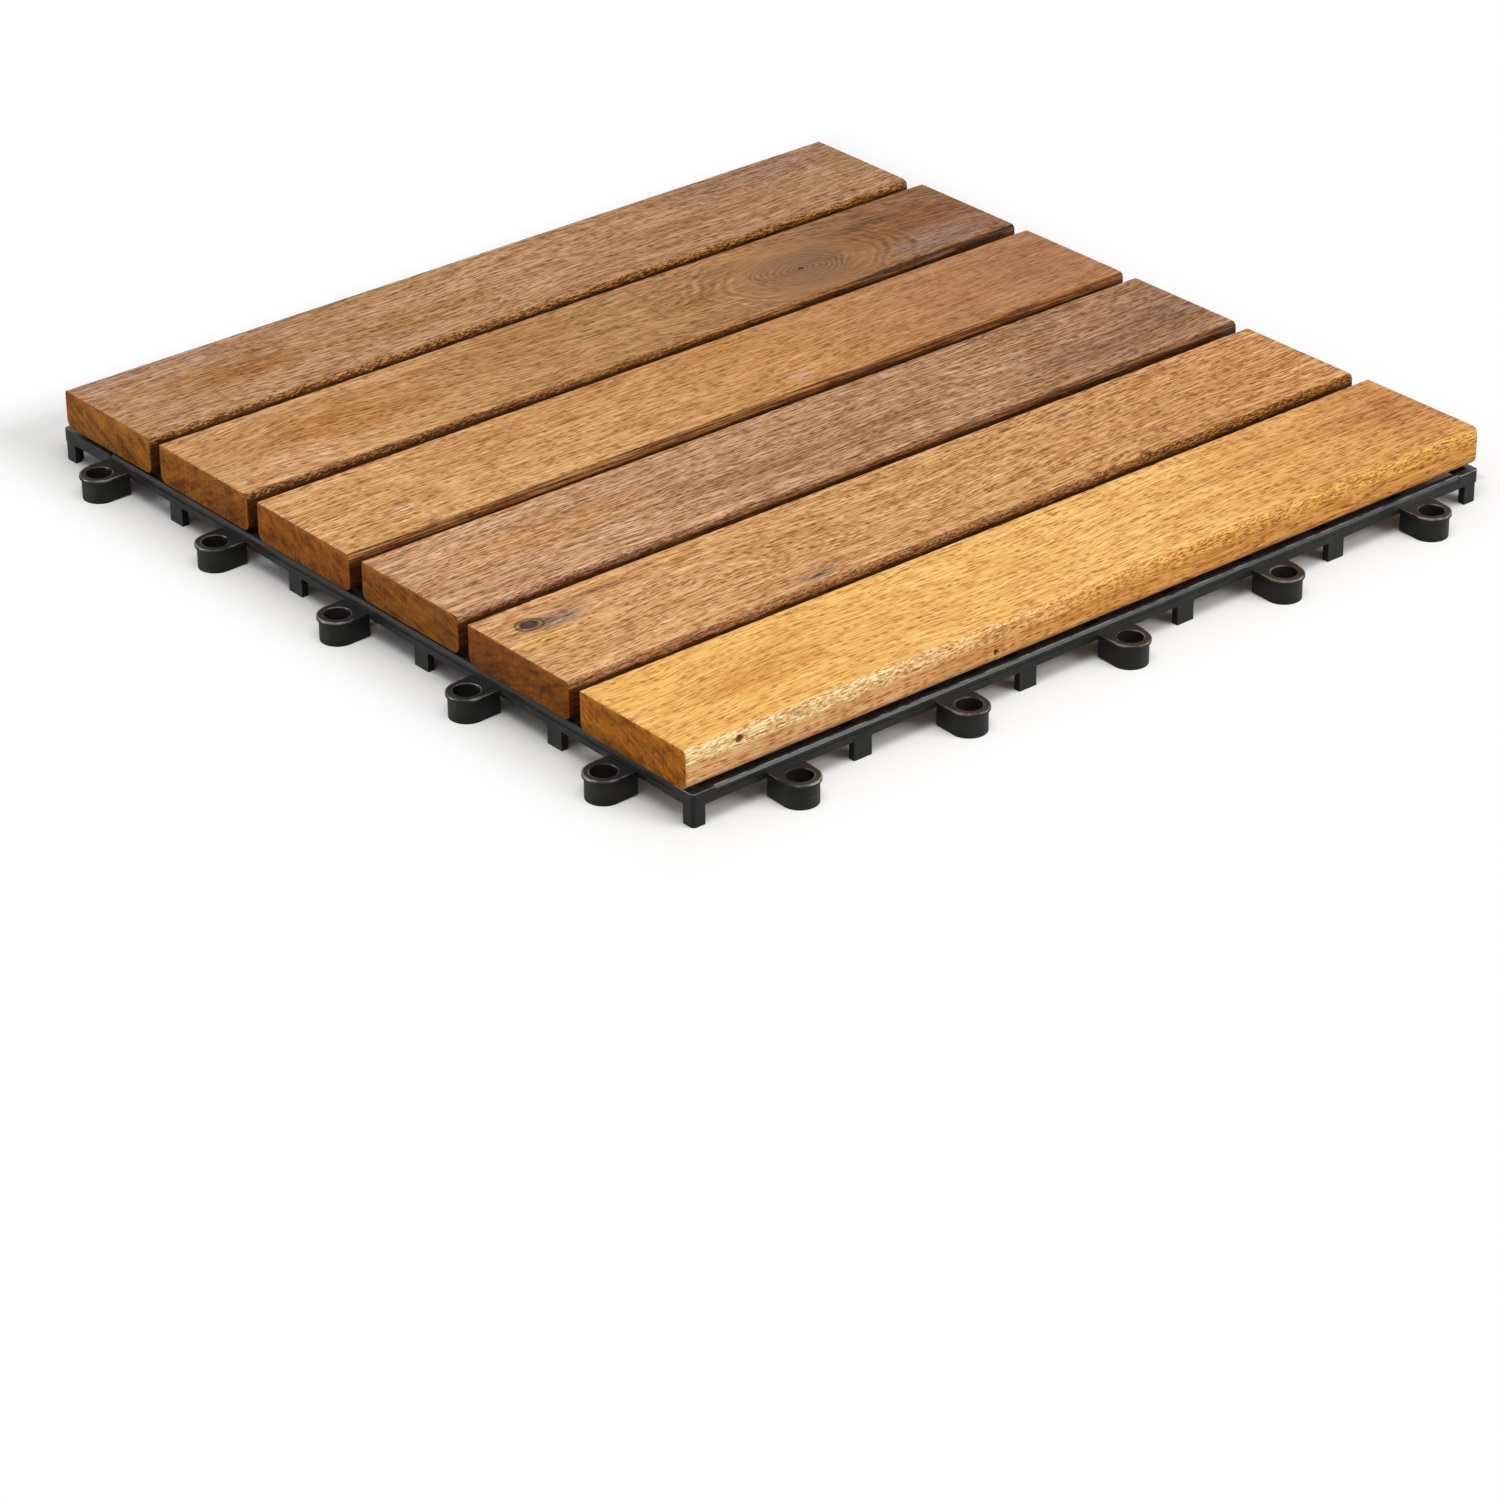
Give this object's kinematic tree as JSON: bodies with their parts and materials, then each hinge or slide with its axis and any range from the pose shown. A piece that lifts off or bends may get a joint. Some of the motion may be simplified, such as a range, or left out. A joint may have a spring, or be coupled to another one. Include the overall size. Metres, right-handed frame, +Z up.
{
  "type": "interlocking deck tile",
  "caption": "Square deck tile of parallel hardwood boards screwed to a black plastic grid, with connecting loops and pegs along its sides.",
  "frame": {"origin": "on the floor under the middle of the plastic grid, at the underside of the centre foot", "axes": "+Z up, X along the boards; the loops stand out of the -X and -Y sides, the pegs hang under the +X and +Y sides"},
  "size_m": [0.3107, 0.3107, 0.0233],
  "materials": {
    "slat_1": "oiled acacia, open pored, planed faces and slightly torn edges",
    "slat_2": "oiled acacia, open pored, planed faces and slightly torn edges",
    "slat_3": "oiled acacia, open pored, planed faces and slightly torn edges",
    "slat_4": "oiled acacia, open pored, planed faces and slightly torn edges",
    "slat_5": "oiled acacia, open pored, planed faces and slightly torn edges",
    "slat_6": "oiled acacia, open pored, planed faces and slightly torn edges",
    "base_grid": "black polypropylene, satin as moulded",
    "slat_screws": "zinc plated"
  },
  "bodies": {
    "root": {"slat_1": "slat_1", "slat_2": "slat_2", "slat_3": "slat_3", "slat_4": "slat_4", "slat_5": "slat_5", "slat_6": "slat_6", "base_grid": "base_grid", "slat_screws": "slat_screws"}
  },
  "joints": []
}
